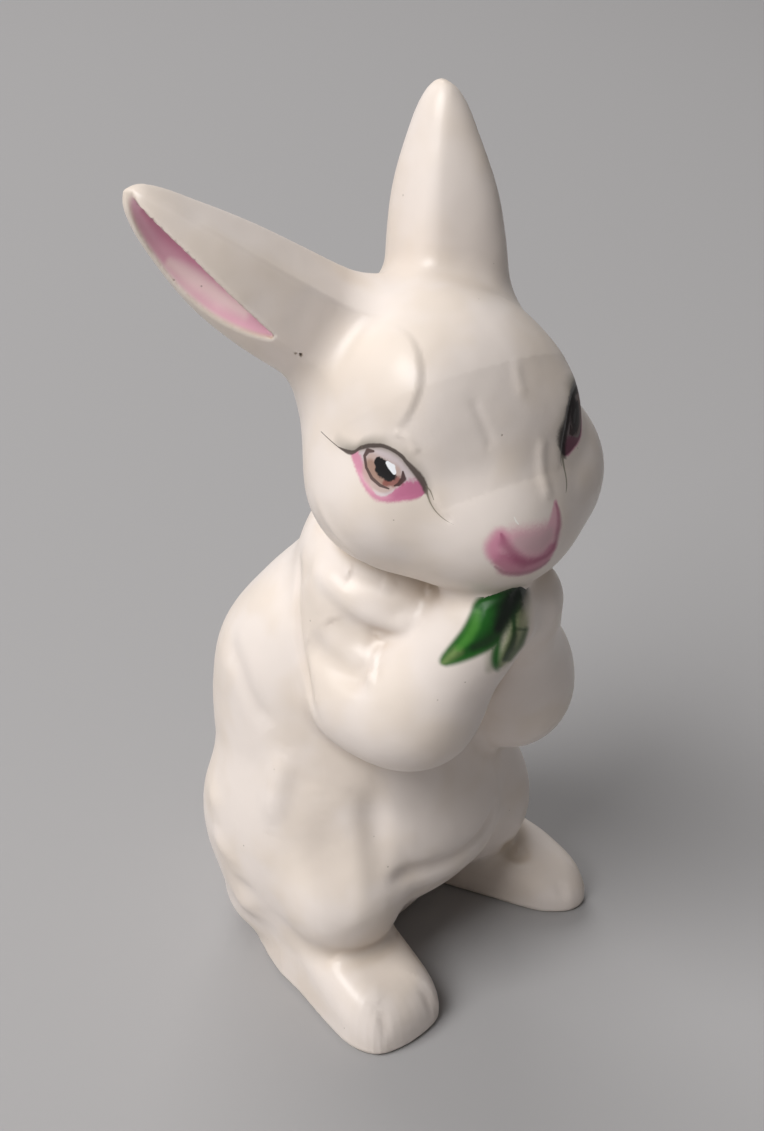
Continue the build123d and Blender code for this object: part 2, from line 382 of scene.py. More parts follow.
def foot_form(places, outline, ankle_height, toe_height):
    """A long hind foot, flat on the floor, that slopes down from its ankle to its toes."""
    ankle, toe = -8.0, outline[:, 1].min()
    share = np.clip((places[:, 1] - ankle) / (toe - ankle), -1, 1.2)
    top = ankle_height + (toe_height - ankle_height) * share
    return cut(flat_form(places, outline) + sole_inset, top - places[:, 2], foot_edge_reach)


# The pieces' names, in the order of their fields
piece_names = (
    "body_casting",
    "head_casting",
    "right_ear",
    "left_ear",
    "right_foreleg",
    "left_foreleg",
    "right_hind_foot",
    "left_hind_foot",
    "tail",
    "leaf_sprig",
)

# Reach of the clay smoothed into each piece's seam with those before it
seam_reach = (0, 2, 5, 5, 3, 3, 3, 3, 3)
right_sole, left_sole = closed_line(right_foot_outline), closed_line(left_foot_outline)


def piece_forms(places):
    """Every piece's field but the leaf's, one row each, in the order of their names."""
    return np.stack(
        (
            body_form(places),
            head_form(places),
            ear_form(places, right_ear),
            ear_form(places, left_ear),
            foreleg_form(places, right_foreleg),
            foreleg_form(places, left_foreleg),
            foot_form(places, right_sole, *right_foot_heights),
            foot_form(places, left_sole, *left_foot_heights),
            ball(places, tail_place, tail_radii),
        )
    )


# Carving: strokes of a modelling tool along lines of places


# Stretches of a line whose distances differ by less than about this count alike
blend_reach = 0.8


def nearest_on_line(places, line):
    """For each place: the offset from the nearest places on the line, their direction and share.

    Places that are nearly as near count too, so that nothing jumps where two stretches are level.
    """
    steps = line[1:] - line[:-1]
    lengths = np.linalg.norm(steps, axis=1)
    away = places[:, None] - line[:-1]
    t = np.clip((away * steps).sum(2) / lengths**2, 0, 1)
    away = away - t[:, :, None] * steps
    distance = np.sqrt((away**2).sum(2))
    nearest = distance.min(1)
    weight = np.exp((nearest[:, None] - distance) / blend_reach)
    weight = weight / weight.sum(1)[:, None]
    offset = (away * weight[:, :, None]).sum(1)
    heading = weight @ (steps / lengths[:, None])
    share = ((np.arange(len(steps)) + t) * weight).sum(1) / len(steps)
    return offset, heading, share, nearest


def uncarved_form(forms):
    """The pieces' fields as one, each luted on with a fillet of clay."""
    whole = forms[0]
    for form, reach in zip(forms[1:], seam_reach[1:]):
        whole = join(whole, form, reach)
    return whole


probes = np.array(((1, 1, 1), (1, -1, -1), (-1, 1, -1), (-1, -1, 1)), float)
probe_reach = 0.06


def steepest(values):
    """How fast a field grows and in which way, from its values at the probes."""
    return sum(value[:, None] * probe for value, probe in zip(values, probes)) / (4 * probe_reach)


def on_clay(places):
    """Places brought onto the uncarved surface, and the surface's normals there."""
    places = np.array(places, float)
    for _ in range(6):
        values = [uncarved_form(piece_forms(places + probe * probe_reach)) for probe in probes]
        slope = steepest(values)
        places = places - (sum(values) / 4 / (slope**2).sum(1))[:, None] * slope
    return places, slope / np.linalg.norm(slope, axis=1)[:, None]


class Stroke:
    """One stroke of a modelling tool along the clay's surface.

    It leaves a soft ridge or groove or, where it has a fade, a fold: one side of the line stands
    proud by the height and fades away from it. The side is +1 for the line's left as seen from
    outside and -1 for its right.
    """

    def __init__(self, knots, height, width, side=0, fade=0.0, ends=0.2):
        self.line, self.normals = on_clay(flowing_line(knots))
        self.height, self.width, self.side, self.fade, self.ends = height, width, side, fade, ends
        # Beyond this the stroke raises or lowers next to nothing
        self.reach = max(2.6 * width, 2.2 * fade)

    def relief(self, places):
        """How far the stroke raises the surface at each place."""
        raised = np.zeros(len(places))
        low, high = self.line.min(0) - self.reach, self.line.max(0) + self.reach
        near = np.nonzero(((places > low) & (places < high)).all(1))[0]
        apart = (places[near] ** 2).sum(1)[:, None] - 2 * places[near] @ self.line.T
        apart = apart + (self.line**2).sum(1)
        near = near[apart.min(1, initial=1e9) < (self.reach + 1) ** 2]
        if not len(near):
            return raised
        offset, heading, share, distance = nearest_on_line(places[near], self.line)
        ends = smooth_step(share / self.ends) * smooth_step((1 - share) / self.ends)
        if self.fade:
            stops = np.linspace(0, 1, len(self.line))
            normals = np.stack([np.interp(share, stops, values) for values in self.normals.T], 1)
            leftward = np.cross(normals, heading)
            length = np.maximum(np.linalg.norm(leftward, axis=1), 1e-9)
            beside = self.side * (offset * leftward).sum(1) / length
            fading = np.exp(-((np.maximum(beside, 0) / self.fade) ** 2))
            shape = smooth_step(0.5 + beside / self.width) * fading
            beyond = np.sqrt(np.maximum(distance**2 - beside**2, 0))
            shape = shape * np.exp(-((beyond / self.fade) ** 2))
        else:
            shape = np.exp(-((distance / self.width) ** 2))
        raised[near] = self.height * shape * ends
        return raised


# Strokes on the head, in its own frame
strokes = [
    # Edge of the pad over the right eye, and the small pinch at its foot
    Stroke(from_head([(-12.6, 2.2, 20.9), (-11.3, 7.8, 20.4), (-11.5, 12.6, 18.9), (-12.7, 16, 15.1),
                      (-14.8, 16.8, 11.3), (-16.5, 16, 8.3), (-17.4, 15.2, 6.5)]),
           0.5, 1.6, side=-1, fade=6, ends=0.4),
    Stroke(from_head([(-16.8, 16, 7.6), (-15.7, 17.1, 6.8), (-14.9, 18, 5.2)]), 0.3, 0.6),
    # Two faint lines down the brow
    Stroke(from_head([(-6, 19.9, 12.7), (-5.3, 21.2, 9.7), (-4.5, 22.1, 7.2), (-3.9, 23, 4.5)]),
           -0.14, 0.9),
    Stroke(from_head([(3.1, 18.5, 15.2), (2.9, 19.4, 13.7), (3, 20.3, 12)]), 0.14, 1.0),
    # Ridge down the left side of the bridge
    Stroke(from_head([(5.8, 22.7, 4.3), (4.9, 24, 1.1), (4.6, 25.6, -2), (4.8, 26.9, -4.5)]), 0.3, 1.1),
    # Crease that runs from the right eye's inner corner
    Stroke(from_head([(-13.6, 19.8, -1.4), (-13.2, 21, -3.4), (-12.6, 22.1, -4.8), (-11.7, 23.1, -5.8)]),
           -0.2, 0.5),
    # Upper and lower lids of the right eye
    Stroke(from_head([(-21.7, 6.6, 2.6), (-21, 9, 2.9), (-18.6, 13.5, 4.9), (-16.1, 17, 3.4),
                      (-13.7, 19.8, -1.6)]), 0.22, 1.1, side=1, fade=2.4),
    Stroke(from_head([(-21.3, 9, 1.8), (-20.8, 13.2, -1.4), (-19.7, 15.4, -2.5), (-17.8, 17.5, -3.1),
                      (-14.1, 19.7, -2)]), 0.14, 1.1, side=-1, fade=2.0),
    # Upper lid of the left eye
    Stroke(from_head([(17.5, 13.5, 7.6), (14.6, 17.6, 9), (11.8, 20.3, 6.7), (10.3, 21.5, 2.3),
                      (8.7, 23.5, -1.9)]), 0.3, 1.1, side=-1, fade=2.4),
    # Rim of the jaw
    Stroke(from_head([(-24.9, 1.5, -4.5), (-24.9, 4.1, -7.7), (-24.3, 8.2, -11.5), (-21.4, 11, -16),
                      (-16.5, 13.1, -18.9), (-11.7, 17, -19.2), (-4.9, 21, -21.6)]), 0.4, 1.2, ends=0.5),
]

# Strokes on the breast and arms
strokes += [
    # Fold round the neck, and the two hollows above it
    Stroke([(-17.8, -1.8, 94), (-20.2, -9.5, 92.4), (-19.5, -14.6, 89.9), (-17, -20.2, 88.7),
            (-14.8, -23.4, 92)], 0.9, 1.8),
    Stroke([(-19.6, -10.8, 96), (-19, -14.5, 95.7), (-17.6, -17.2, 95.4)], -0.7, 2.2),
    Stroke([(-16.4, -19, 95.4), (-14.9, -21, 95.1), (-12.7, -23, 95)], -0.6, 2.0),
    # Outer edge of the right arm
    Stroke([(-16.1, 5.4, 94), (-19.3, 2.4, 89.3), (-22.3, -0.4, 83.5), (-24, -3.2, 78.1), (-26, -7.4, 73),
            (-26.2, -12, 68.6)], -0.7, 1.3),
    # Swell of the upper arm
    Stroke([(-20.1, -1.3, 92), (-21.8, -6.6, 89.8), (-22.3, -9.5, 86.6)], 0.5, 3.2),
    # Crook of the arm: a hollow band, and the forearm's edge at its end
    Stroke([(-23.6, -4, 81.6), (-24.6, -9.5, 80.4), (-24.5, -15.4, 79.6), (-23.8, -19, 80.2)], -1.3, 2.3),
    Stroke([(-17.6, -18, 86.8), (-19.5, -18.3, 84), (-21.3, -19.1, 82.4), (-22.8, -20.1, 80.4),
            (-24.4, -20.9, 77.6)], 0.45, 1.5, side=-1, fade=4, ends=0.4),
    Stroke([(-18.4, -17.2, 85.4), (-20.4, -17.4, 83), (-22.5, -18.2, 80.6)], -0.5, 1.9),
    # Fold of the flank behind the arm
    Stroke([(-23, 19.2, 72), (-26.5, 12.1, 70), (-27.7, 7.3, 65.4), (-27.8, 2.2, 60.5)], -0.6, 2.6),
]

# Strokes on the haunches and the belly
strokes += [
    # Crease between the right haunch and the belly, and the flat of the haunch beside it
    Stroke([(-18.5, -14.3, 54), (-18.6, -15.3, 48.7), (-19.6, -17.2, 42.3), (-20.8, -19.4, 36.4),
            (-21.3, -20.2, 30.4), (-21, -20.4, 24)], -1.3, 3.0, ends=0.4),
    Stroke([(-24.8, -7.5, 50.4), (-26.2, -10.6, 43.6), (-26.6, -13.8, 36), (-26, -16.4, 30),
            (-25, -18.2, 25)], -2.6, 5.6, ends=0.5),
    # Crest of the right haunch
    Stroke([(-26.4, -1.4, 58.4), (-27.8, -0.4, 51.8), (-29.3, -0.2, 45.7), (-30.6, -0.6, 39)],
           1.4, 2.7, ends=0.4),
    # Crease between the left haunch and the belly
    Stroke([(13, -20.5, 50), (13.4, -21.3, 42), (13.2, -22, 34.5), (12.4, -22, 28)], -0.5, 3.0, ends=0.4),
    # Fold along the lower edge of the belly
    Stroke([(9.4, -22.6, 38), (5.4, -23.7, 33.3), (-1, -24.2, 31.2), (-8, -23.2, 31), (-14.1, -21, 31.6),
            (-19.5, -20.1, 31.4)], -1.0, 1.7),
    Stroke([(11, -21.8, 29), (2.9, -23.6, 26.4), (-6.4, -23.4, 26.6), (-13, -21.3, 27.2),
            (-18.4, -20.4, 26.4)], 0.6, 2.4),
    # Tufts of fur low on the right flank
    Stroke([(-27.6, 20.5, 40), (-29.6, 17.3, 37.4), (-31, 15.2, 33)], 0.6, 2.6, ends=0.5),
    Stroke([(-29.4, 18.4, 31.6), (-31.5, 13.5, 28.6), (-31.8, 10, 25)], 0.7, 2.6, ends=0.5),
    Stroke([(-28.4, 14.4, 14), (-30.4, 9.3, 15), (-31.4, 3.2, 16.6)], 0.7, 2.6, ends=0.5),
    Stroke([(-30.2, 13, 21), (-31.5, 8, 21.4), (-32, 2, 22.6)], -0.5, 2.4, ends=0.5),
]

# Strokes on the hind feet
strokes += [
    # Ridge over the right foot, and the notches between its toes
    Stroke([(-27.6, -13.5, 14.4), (-28.6, -17.3, 12.8), (-28.6, -21.5, 11.4), (-27.8, -25.4, 9.7)],
           0.3, 3.6),
    Stroke([(-27, -24.5, 10), (-28.2, -27.6, 7.5), (-29, -29, 3)], -0.3, 1.2, ends=0.5),
    Stroke([(-18.6, -27, 10), (-17.4, -29.6, 7), (-16.8, -31, 3)], -0.3, 1.2, ends=0.5),
    # Ankle crease of the left foot, and the notches between its toes
    Stroke([(17.2, -17, 20), (20, -17.4, 15), (22.3, -18.6, 11.8), (25, -19.4, 12)], -0.6, 1.3),
    Stroke([(24.6, -26.4, 9), (25.4, -28.6, 5.7), (25.8, -29.8, 3)], -0.3, 1.1, ends=0.5),
    Stroke([(31.4, -25.4, 9), (32.6, -28, 6), (33.4, -29.6, 3)], -0.3, 1.1, ends=0.5),
]


def relief(places):
    """How far all the carving raises the surface at each place."""
    return sum(stroke.relief(places) for stroke in strokes)


# Leaf: two lobes laid over the right paw below the mouth. Its outline is drawn square to the way it
# faces, to its right and up from its middle.
leaf_middle = np.array((-12.5, -37.8, 93.2))
leaf_right = np.array((0.695, -0.719, 0.0))
leaf_up = np.array((0.311, 0.301, 0.866))
leaf_facing = np.array((-0.623, -0.602, 0.5))
first_lobe = [
    (3.6, 6.7), (0.5, 5.9), (-2.5, 4.4), (-3.4, 2.3), (-4.8, -0.5), (-6.6, -3), (-8.2, -5.4),
    (-6.1, -5.1), (-3.1, -3.9), (-0.5, -2.5), (1.3, -1), (2.5, 1.6), (3.4, 4.1),
]
second_lobe = [
    (3.6, 6.7), (5.2, 6.2), (5.9, 3.9), (5.7, 0.8), (4.8, -2.5), (3.3, -5.2), (1.6, -6.7),
    (0.5, -6.1), (0.3, -4.1), (1, -1.8), (2.1, 1.3), (3.1, 4.1),
]
leaf_lines = [closed_line(lobe) for lobe in (first_lobe, second_lobe)]
leaf_thickness = 0.45
leaf_edge_width = 1.8

# Limits of the leaf: how far from its middle along each axis, and how far in front of or behind it
leaf_reach = 13
leaf_depth = 8


def inside_leaf(places):
    """How far each place lies inside the leaf's outline, negative outside it."""
    inside = np.full(len(places), -far_off)
    offset = places - leaf_middle
    near = np.nonzero((np.abs(offset) < leaf_reach).all(1))[0]
    offset = offset[near]
    flat = np.stack((offset @ leaf_right, offset @ leaf_up, offset @ leaf_facing), 1)
    behind = np.abs(flat[:, 2]) > leaf_depth
    flat[:, 2] = 0
    lobes = [-flat_form(flat, line) for line in leaf_lines]
    inside[near] = np.where(behind, -far_off, np.maximum(*lobes))
    return inside


# The carving reaches this far from the uncarved surface
carving_reach = 5.0

vent_place = np.array((0.0, 12.96))
vent_radius = 5.0
vent_depth = 26.0

# How softly the edges of the sole, the vent and the hollow below are rounded
sole_edge_reach = 1.5
vent_edge_reach = 0.8
arch_edge_reach = 1.2

# The shallow hollow under the belly's edge, between the feet
arch_middle = (1.5, -17, -2.5)
arch_radii = (13, 14, 7)


def whole_form(places):
    """The whole figure's field with its carving, and every piece's claim on each place."""
    forms = piece_forms(places)
    whole = uncarved_form(forms)
    near = np.nonzero(np.abs(whole) < carving_reach)[0]
    leaf = np.full(len(places), -far_off)
    leaf[near] = inside_leaf(places[near])
    whole[near] -= relief(places[near]) + leaf_thickness * smooth_step(leaf[near] / leaf_edge_width)
    whole = cut(whole, places[:, 2], sole_edge_reach)
    from_vent = np.linalg.norm(places[:, :2] - vent_place, axis=1) - vent_radius
    vent = np.maximum(from_vent, places[:, 2] - vent_depth)
    whole = cut(whole, vent, vent_edge_reach)
    whole = cut(whole, ball(places, arch_middle, arch_radii), arch_edge_reach)
    claims = np.concatenate((forms, (forms.min(0) - leaf)[None]))
    return whole, claims


# Surface: the figure's skin as a net of small faces, fine enough for the carving

fine_step = 0.6
patch_steps = 2
block_steps = 8
skin_low = np.array((-44.4, -43.8, -1.8))
skin_high = np.array((40.8, 45.6, 175.0))

# The field is worked out for about this many places at a time
batch_size = 25000

# The surface may pass through a block or patch whose middle is this many of its sides away
block_margin = 1.5
patch_margin = 1.2

# A seam keeps this share of an edge away from the edge's ends
seam_margin = 0.03


def field_of(places):
    """The whole field of many places, and every piece's claim there, worked out batch by batch."""
    batches = np.array_split(places, max(1, len(places) // batch_size))
    with ThreadPoolExecutor(4) as pool:
        results = list(pool.map(whole_form, batches))
    return np.concatenate([whole for whole, _ in results]), np.concatenate([c for _, c in results], 1)


def counted(sizes):
    """The whole numbered places in a box of those many steps along its sides."""
    return np.stack(np.meshgrid(*[np.arange(size) for size in sizes], indexing="ij"), -1).reshape(-1, 3)


def sampled_field():
    """The field on a fine grid: exact near the surface, and only right in sign away from it."""
    blocks = np.ceil((skin_high - skin_low) / (fine_step * block_steps)).astype(int)
    corners = counted(blocks) * block_steps
    at_middle = skin_low + (corners + (block_steps - 1) / 2) * fine_step
    coarse = field_of(at_middle)[0]
    grid = coarse.reshape(blocks)
    for axis in range(3):
        grid = np.repeat(grid, block_steps, axis)
    near = np.abs(coarse) < fine_step * block_steps * block_margin
    patches = counted([block_steps // patch_steps] * 3) * patch_steps
    patches = (corners[near][:, None] + patches).reshape(-1, 3)
    middling = field_of(skin_low + (patches + (patch_steps - 1) / 2) * fine_step)[0]
    samples = counted([patch_steps] * 3)
    for one in samples:
        grid[tuple((patches + one).T)] = middling
    patches = patches[np.abs(middling) < fine_step * patch_steps * patch_margin]
    exact = (patches[:, None] + samples).reshape(-1, 3)
    grid[tuple(exact.T)] = field_of(skin_low + exact * fine_step)[0]
    return grid


def net_over(grid):
    """Four-sided faces over the grid's zero surface, one place for each cell that it passes."""
    inside = grid < 0
    sizes = np.array(grid.shape) - 1
    corners = counted([2] * 3)
    held = [inside[i:i + sizes[0], j:j + sizes[1], k:k + sizes[2]] for i, j, k in corners]
    passed = np.logical_or.reduce(held) & ~np.logical_and.reduce(held)
    cells = np.argwhere(passed)
    number = np.full(passed.shape, -1)
    number[passed] = np.arange(len(cells))
    values = [grid[tuple((cells + corner).T)] for corner in corners]
    total, count = np.zeros((len(cells), 3)), np.zeros(len(cells))
    for a in range(8):
        for b in range(a + 1, 8):
            if np.abs(corners[a] - corners[b]).sum() != 1:
                continue
            crosses = (values[a] < 0) != (values[b] < 0)
            share = np.where(crosses, values[a] / np.where(crosses, values[a] - values[b], 1), 0)
            total += np.where(crosses[:, None], corners[a] + share[:, None] * (corners[b] - corners[a]), 0)
            count += crosses
    places = skin_low + (cells + total / count[:, None]) * fine_step
    faces = []
    for axis in range(3):
        step, up, side = np.eye(3, dtype=int)[[axis, (axis + 1) % 3, (axis + 2) % 3]]
        lower = inside[:inside.shape[0] - step[0], :inside.shape[1] - step[1], :inside.shape[2] - step[2]]
        upper = inside[step[0]:, step[1]:, step[2]:]
        edges = np.argwhere(lower != upper)
        ring = [edges - up - side, edges - side, edges, edges - up]
        face = np.stack([number[tuple(cell.T)] for cell in ring], 1)
        outward = inside[tuple(edges.T)]
        face[~outward] = face[~outward][:, ::-1]
        faces.append(face)
    return places, np.concatenate(faces)


def settled(places):
    """Places brought onto the surface, with its normals and every piece's claim there."""
    for _ in range(2):
        around = [field_of(places + probe * probe_reach)[0] for probe in probes]
        slope = steepest(around)
        steepness = np.maximum((slope**2).sum(1), 0.05)
        shift = np.clip(sum(around) / 4 / steepness, -fine_step, fine_step)
        places = places - shift[:, None] * slope
    normals = slope / np.linalg.norm(slope, axis=1)[:, None]
    return places, normals, field_of(places)[1]


def cut_at_seams(places, faces, claims):
    """Faces of one owner each. A face over a seam is cut where the two pieces' claims are equal."""
    owners = claims.argmin(0)
    face_owners = owners[faces]
    whole = (face_owners == face_owners[:, :1]).all(1)
    owned = {owner: [faces[whole & (face_owners[:, 0] == owner)]] for owner in range(len(claims))}
    pieces_of = {owner: ([], []) for owner in owned}
    added, seen = [], {}

    def seam_place(a, b):
        """The number of the place where the seam crosses the edge between two places."""
        key = (min(a, b), max(a, b))
        if key not in seen:
            i, j = owners[key[0]], owners[key[1]]
            start, end = claims[i, key[0]] - claims[j, key[0]], claims[i, key[1]] - claims[j, key[1]]
            share = min(max(start / (start - end), seam_margin), 1 - seam_margin)
            seen[key] = len(places) + len(added)
            added.append(places[key[0]] + share * (places[key[1]] - places[key[0]]))
        return seen[key]

    for face in faces[~whole]:
        for corners in ((face[0], face[1], face[2]), (face[0], face[2], face[3])):
            held = [owners[corner] for corner in corners]
            if len(set(held)) == 1:
                pieces_of[held[0]][0].append(corners)
            elif len(set(held)) == 3:
                crossings = [seam_place(corners[i], corners[(i + 1) % 3]) for i in range(3)]
                middle = len(places) + len(added)
                added.append(places[list(corners)].mean(0))
                for i in range(3):
                    pieces_of[held[i]][1].append((corners[i], crossings[i], middle, crossings[i - 1]))
            else:
                lone = next(i for i in range(3) if held.count(held[i]) == 1)
                a, b, c = (corners[(lone + i) % 3] for i in range(3))
                near_b, near_c = seam_place(a, b), seam_place(a, c)
                pieces_of[owners[a]][0].append((a, near_b, near_c))
                pieces_of[owners[b]][1].append((near_b, b, c, near_c))
    for owner, (triangles, quads) in pieces_of.items():
        owned[owner] += [np.array(triangles, int).reshape(-1, 3), np.array(quads, int).reshape(-1, 4)]
    return np.array(added).reshape(-1, 3), owned


# The lip at a piece's seam reaches this far in
lip_depth = 1.2


def closed_piece(places, normals, faces):
    """A piece's skin closed at its seams, by a lip turned inwards and a cap that the joint hides.

    Gives the piece's places, its faces as arrays of one size each, and for each place the number of
    the skin's place that it came from, or -1.
    """
    edges = []
    for group in faces:
        for i in range(group.shape[1]):
            edges.append(np.stack((group[:, i], group[:, (i + 1) % group.shape[1]]), 1))
    edges = np.concatenate(edges)
    top = len(places) + 1
    forward, backward = edges[:, 0] * top + edges[:, 1], edges[:, 1] * top + edges[:, 0]
    border = edges[~np.isin(forward, backward)]
    used = np.unique(np.concatenate([group.ravel() for group in faces]))
    rim = np.unique(border)
    number = np.full(len(places), -1)
    number[used] = np.arange(len(used))
    inner = np.full(len(places), -1)
    inner[rim] = len(used) + np.arange(len(rim))
    inner_places = places[rim] - lip_depth * normals[rim]
    group_of = {place: place for place in rim.tolist()}

    def leader(place):
        """The place that stands for all those on the same rim."""
        while group_of[place] != place:
            group_of[place] = group_of[group_of[place]]
            place = group_of[place]
        return place

    for a, b in border.tolist():
        group_of[leader(a)] = leader(b)
    leaders = np.array([leader(place) for place in rim.tolist()])
    middles = [inner_places[leaders == one].mean(0) for one in np.unique(leaders)]
    middle_number = {one: len(used) + len(rim) + i for i, one in enumerate(np.unique(leaders).tolist())}
    start, end = border.T
    lips = np.stack((number[end], number[start], inner[start], inner[end]), 1)
    hubs = np.array([middle_number[leader(place)] for place in start.tolist()], int)
    caps = np.stack((inner[end], inner[start], hubs), 1)
    all_places = np.concatenate([places[used], inner_places, np.array(middles).reshape(-1, 3)])
    source = np.concatenate((used, np.full(len(all_places) - len(used), -1)))
    return all_places, [number[group] for group in faces] + [lips, caps], source


def clay_mesh(name, places, faces, source, normals, patterns):
    """A mesh in metres, shaded by the surface's own normals, with the patterns that its paint follows."""
    mesh = bpy.data.meshes.new(name)
    faces = [group for group in faces if len(group)]
    corners = np.concatenate([group.ravel() for group in faces])
    sizes = np.concatenate([np.full(len(group), group.shape[1]) for group in faces])
    mesh.vertices.add(len(places))
    mesh.vertices.foreach_set("co", (places * 0.001).astype(np.float32).ravel())
    mesh.loops.add(len(corners))
    mesh.loops.foreach_set("vertex_index", corners.astype(np.int32))
    mesh.polygons.add(len(sizes))
    mesh.polygons.foreach_set("loop_start", (np.cumsum(sizes) - sizes).astype(np.int32))
    mesh.update(calc_edges=True)
    mesh.polygons.foreach_set("use_smooth", np.ones(len(sizes), bool))
    skin = source >= 0
    place_normals = np.zeros((len(places), 3))
    place_normals[skin] = normals[source[skin]]
    corner_normals = place_normals[corners]
    hidden = sum(len(group) * group.shape[1] for group in faces[-2:])
    if (~skin).any():
        corner_normals[len(corners) - hidden:] = 0
    mesh.normals_split_custom_set(corner_normals.tolist())
    for pattern_name, on_skin in patterns.items():
        values = np.zeros(len(places), np.float32)
        values[skin] = on_skin[source[skin]]
        mesh.attributes.new(pattern_name, "FLOAT", "POINT").data.foreach_set("value", values)
    return mesh


# How far out from the skin the hollows are judged, where the glaze pools and where shade is painted
pool_and_shade_reach = 3.5


def sculpted_pieces():
    """Each piece's name and mesh."""
    places, faces = net_over(sampled_field())
    places, normals, claims = settled(places)
    added, owned = cut_at_seams(places, faces, claims)
    added, added_normals, _ = settled(added)
    places, normals = np.concatenate((places, added)), np.concatenate((normals, added_normals))
    patterns = {
        # How hollow each place is, for the pooled glaze and the painted shade in hollows
        "pooling": 1 - field_of(places + pool_and_shade_reach * normals)[0] / pool_and_shade_reach,
        "cup": -np.minimum(ear_forms(places, right_ear)[0], ear_forms(places, left_ear)[0]),
        "leaf": inside_leaf(places),
    }
    pieces = {}
    for owner, name in enumerate(piece_names):
        groups = owned[owner]
        if sum(len(group) for group in groups):
            shape, shape_faces, source = closed_piece(places, normals, groups)
            pieces[name] = clay_mesh(name, shape, shape_faces, source, normals, patterns)
    return pieces


# Finishes: a glaze's colours and unevenness are sums and products of a few patterns


class Number:
    """One number of a material. Sums and products on it add the nodes that work them out."""

    def __init__(self, finish, socket):
        self.finish, self.socket = finish, socket

    def maths(self, operation, *others, clamp=False):
        """What a step of maths gives for this number and the others."""
        node = self.finish.node("ShaderNodeMath", {"operation": operation, "use_clamp": clamp})
        for slot, value in enumerate((self,) + others):
            self.finish.feed(node.inputs[slot], value)
        return Number(self.finish, node.outputs[0])

    def __add__(self, other):
        return self.maths("ADD", other)

    def __sub__(self, other):
        return self.maths("SUBTRACT", other)

    def __rsub__(self, other):
        return self * -1 + other

    def __mul__(self, other):
        return self.maths("MULTIPLY", other)

    def __truediv__(self, other):
        return self.maths("DIVIDE", other)

    def __abs__(self):
        return self.maths("ABSOLUTE")

    def least(self, other):
        return self.maths("MINIMUM", other)

    def within(self, start, end):
        """0 at start and 1 at end, smooth between, whichever of the two is larger."""
        inputs = {"Value": self, "From Min": start, "From Max": end}
        node = self.finish.node("ShaderNodeMapRange", {"interpolation_type": "SMOOTHSTEP"}, inputs)
        return Number(self.finish, node.outputs[0])

    def along(self, stops):
        """What a smooth curve through the stops gives for this number."""
        low, high = stops[0][0], stops[-1][0]
        bottom, top = min(value for _, value in stops), max(value for _, value in stops)
        points = [((at - low) / (high - low), (value - bottom) / (top - bottom)) for at, value in stops]
        share = (self - low).maths("DIVIDE", high - low, clamp=True)
        node = self.finish.node("ShaderNodeFloatCurve", {"stops": points}, {"Value": share})
        return Number(self.finish, node.outputs[0]) * (top - bottom) + bottom


class Finish:
    """A material: its shader with fixed settings, and a method that adds any node."""

    def __init__(self, name, **shader_settings):
        self.material = bpy.data.materials.new(name)
        self.material.use_nodes = True
        self.tree = self.material.node_tree
        self.tree.nodes.clear()
        self.shader = self.node("ShaderNodeBsdfPrincipled", {}, shader_settings)
        output = self.tree.nodes.new("ShaderNodeOutputMaterial")
        self.tree.links.new(self.shader.outputs[0], output.inputs["Surface"])
        coordinates = self.node("ShaderNodeTexCoord").outputs["Object"]
        self.place = self.vector("SCALE", {0: coordinates, "Scale": 1000})

    def feed(self, socket, value):
        """Gives a socket a number, a colour or what another node works out."""
        if isinstance(value, Number):
            value = value.socket
        if isinstance(value, bpy.types.NodeSocket):
            self.tree.links.new(value, socket)
        elif isinstance(value, tuple) and socket.type == "RGBA":
            socket.default_value = value + (1,)
        else:
            socket.default_value = value

    def node(self, kind, settings=None, inputs=None):
        """A node with its settings and the values or links of its sockets."""
        node = self.tree.nodes.new(kind)
        for key, value in (settings or {}).items():
            if key == "stops":
                curve = node.mapping.curves[0]
                curve.points[0].location, curve.points[1].location = value[0], value[-1]
                for stop in value[1:-1]:
                    curve.points.new(*stop)
                node.mapping.update()
            else:
                setattr(node, key, value)
        for key, value in (inputs or {}).items():
            self.feed(node.inputs[key.replace("_", " ") if isinstance(key, str) else key], value)
        return node

    def vector(self, operation, values, gives="Vector"):
        """What a step of vector maths gives."""
        return self.node("ShaderNodeVectorMath", {"operation": operation}, values).outputs[gives]

    def share_along(self, direction, origin=(0, 0, 0)):
        """How far each place lies along a direction from an origin, in millimetres."""
        direction = Vector(direction)
        along = self.vector("DOT_PRODUCT", {0: self.place, 1: tuple(direction)}, "Value")
        return Number(self, along) - direction.dot(Vector(origin))

    def noise(self, size, detail=2.0):
        """Soft unevenness with blotches of the given size in millimetres, about 0.5."""
        inputs = {"Vector": self.place, "Scale": 1 / size, "Detail": detail, "Roughness": 0.5}
        return Number(self, self.node("ShaderNodeTexNoise", {}, inputs).outputs[0])

    def mix(self, colour, other, share):
        """One colour turning into another by a share."""
        node = self.node("ShaderNodeMix", {"data_type": "RGBA"})
        sockets = [socket for socket in node.inputs if socket.type == "RGBA"]
        self.feed(node.inputs[0], share)
        self.feed(sockets[0], colour)
        self.feed(sockets[1], other)
        return next(socket for socket in node.outputs if socket.type == "RGBA")


def linear(red, green, blue):
    """A colour as the eye reads it, 0 to 255, in the renderer's own measure."""
    values = (value / 255 for value in (red, green, blue))
    return tuple(v / 12.92 if v <= 0.04045 else ((v + 0.055) / 1.055) ** 2.4 for v in values)


ivory = linear(228, 217, 209)
warm_ivory = linear(223, 210, 198)
pooled_and_shaded_ivory = linear(190, 172, 152)
bisque = linear(214, 203, 184)
speck_brown = linear(120, 104, 90)

# Gloss and shine of the glaze, and the lower ones over the leaf and over the left eye, which is painted
# dark as shade
usual_gloss, leaf_gloss = 0.4, 0.1
usual_shine, left_eye_shine = 0.25, 0.06

# Distance between specks in millimetres, and height of the waves in the glaze in metres
speck_spacing = 4.5
wave_height = 0.00022


